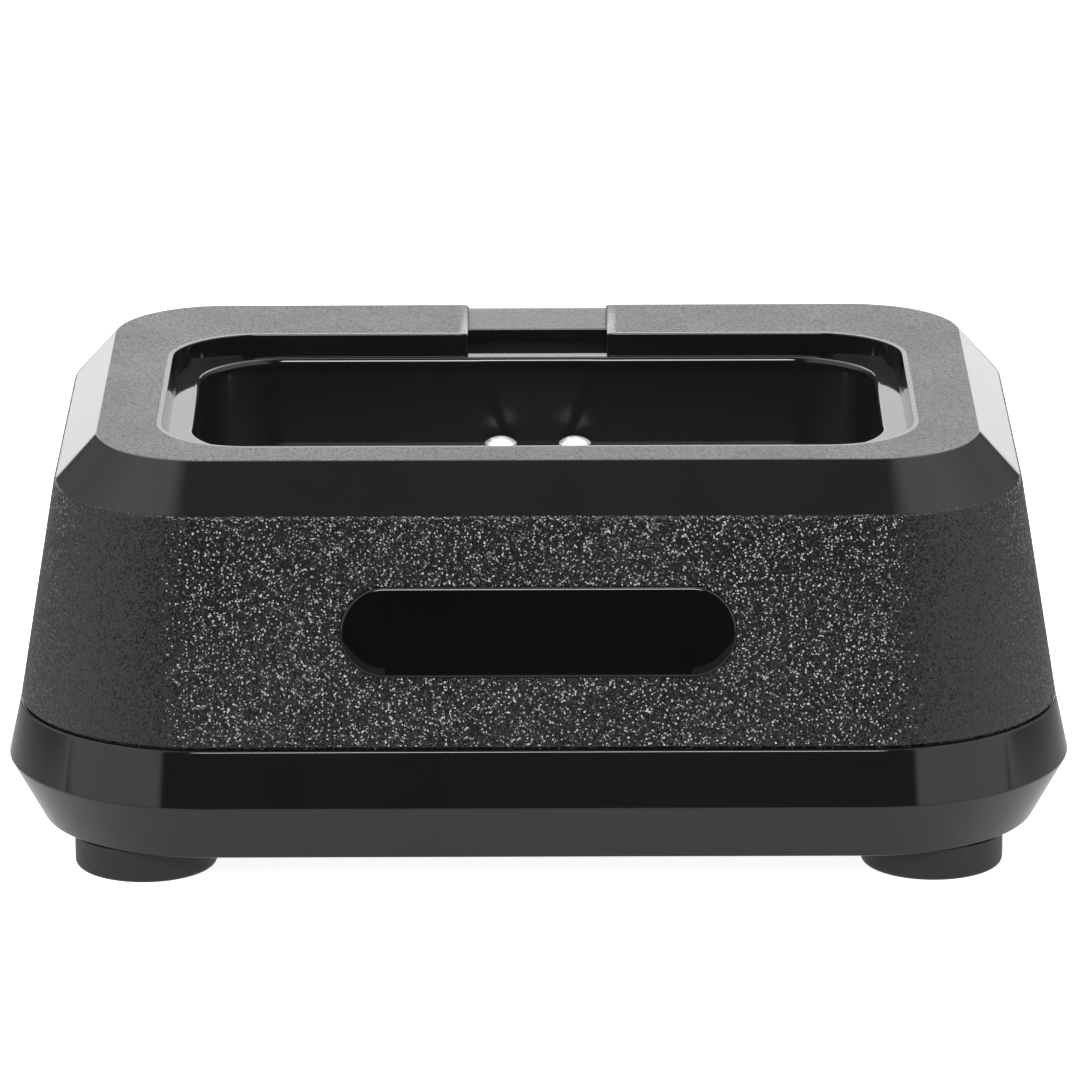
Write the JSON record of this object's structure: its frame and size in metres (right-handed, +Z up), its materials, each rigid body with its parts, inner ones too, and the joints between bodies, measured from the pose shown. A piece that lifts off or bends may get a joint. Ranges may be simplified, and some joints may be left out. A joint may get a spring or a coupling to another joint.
{
  "type": "hair clipper charging stand",
  "caption": "Low box-shaped charging stand with sloping sides; an oblong well takes a cordless clipper's tail, with sprung contacts in its floor and rubber feet.",
  "frame": {"origin": "on the resting surface, under the middle of the base", "axes": "+Z up, +X along the long side to the right as seen from the front, front faces -Y"},
  "size_m": [0.09, 0.0666, 0.036],
  "materials": {
    "textured_shell": "fine leather-grain texture on the sloping faces, polished chamfer under the rim",
    "gloss_insert": "polished black",
    "gloss_base": "polished black",
    "badge": "high gloss, plain",
    "rubber": "matt moulded rubber",
    "contact_metal": "bright plated, slightly domed",
    "spring_steel": "drawn wire",
    "brass": "turned, satin",
    "guide_plastic": "moulded, satin",
    "board": "solder mask",
    "jack_plastic": "moulded, satin",
    "tinned_metal": "tin plated",
    "component_plastic": "moulded, satin",
    "capacitor_sleeve": "shrunk sleeve",
    "resistor_body": "lacquered",
    "ballast_steel": "blank sheet steel, oiled",
    "screw_steel": "zinc plated"
  },
  "bodies": {
    "stand": {"upper_housing": "textured_shell", "well_insert": "gloss_insert", "base_housing": "gloss_base", "front_badge": "badge", "foot_front_left": "rubber", "foot_front_right": "rubber", "foot_rear_left": "rubber", "foot_rear_right": "rubber", "contact_barrel_left": "brass", "contact_barrel_right": "brass", "contact_guide": "guide_plastic", "guide_screws": "screw_steel", "circuit_board": "board", "board_screws": "screw_steel", "jack_body": "jack_plastic", "jack_center_pin": "contact_metal", "jack_sleeve_spring": "brass", "jack_terminals": "tinned_metal", "rectifier_diode": "component_plastic", "filter_capacitor": "capacitor_sleeve", "fuse": "component_plastic", "board_resistors": "resistor_body", "ballast_plate": "ballast_steel", "ballast_screws": "screw_steel", "housing_screws": "screw_steel", "insert_screws": "screw_steel"},
    "contact_left": {"contact_plunger_left": "contact_metal", "contact_spring_left": "spring_steel"},
    "contact_right": {"contact_plunger_right": "contact_metal", "contact_spring_right": "spring_steel"}
  },
  "joints": [
    {"name": "contact_left_press", "type": "slide", "parent": "stand", "child": "contact_left", "axis": [0, 0, 1], "range_m": [-0.0012, 0], "stiffness_N_per_m": 250, "springref_m": 0.0012, "deforming": ["contact_spring_left"]},
    {"name": "contact_right_press", "type": "slide", "parent": "stand", "child": "contact_right", "axis": [0, 0, 1], "range_m": [-0.0012, 0], "stiffness_N_per_m": 250, "springref_m": 0.0012, "deforming": ["contact_spring_right"]}
  ]
}
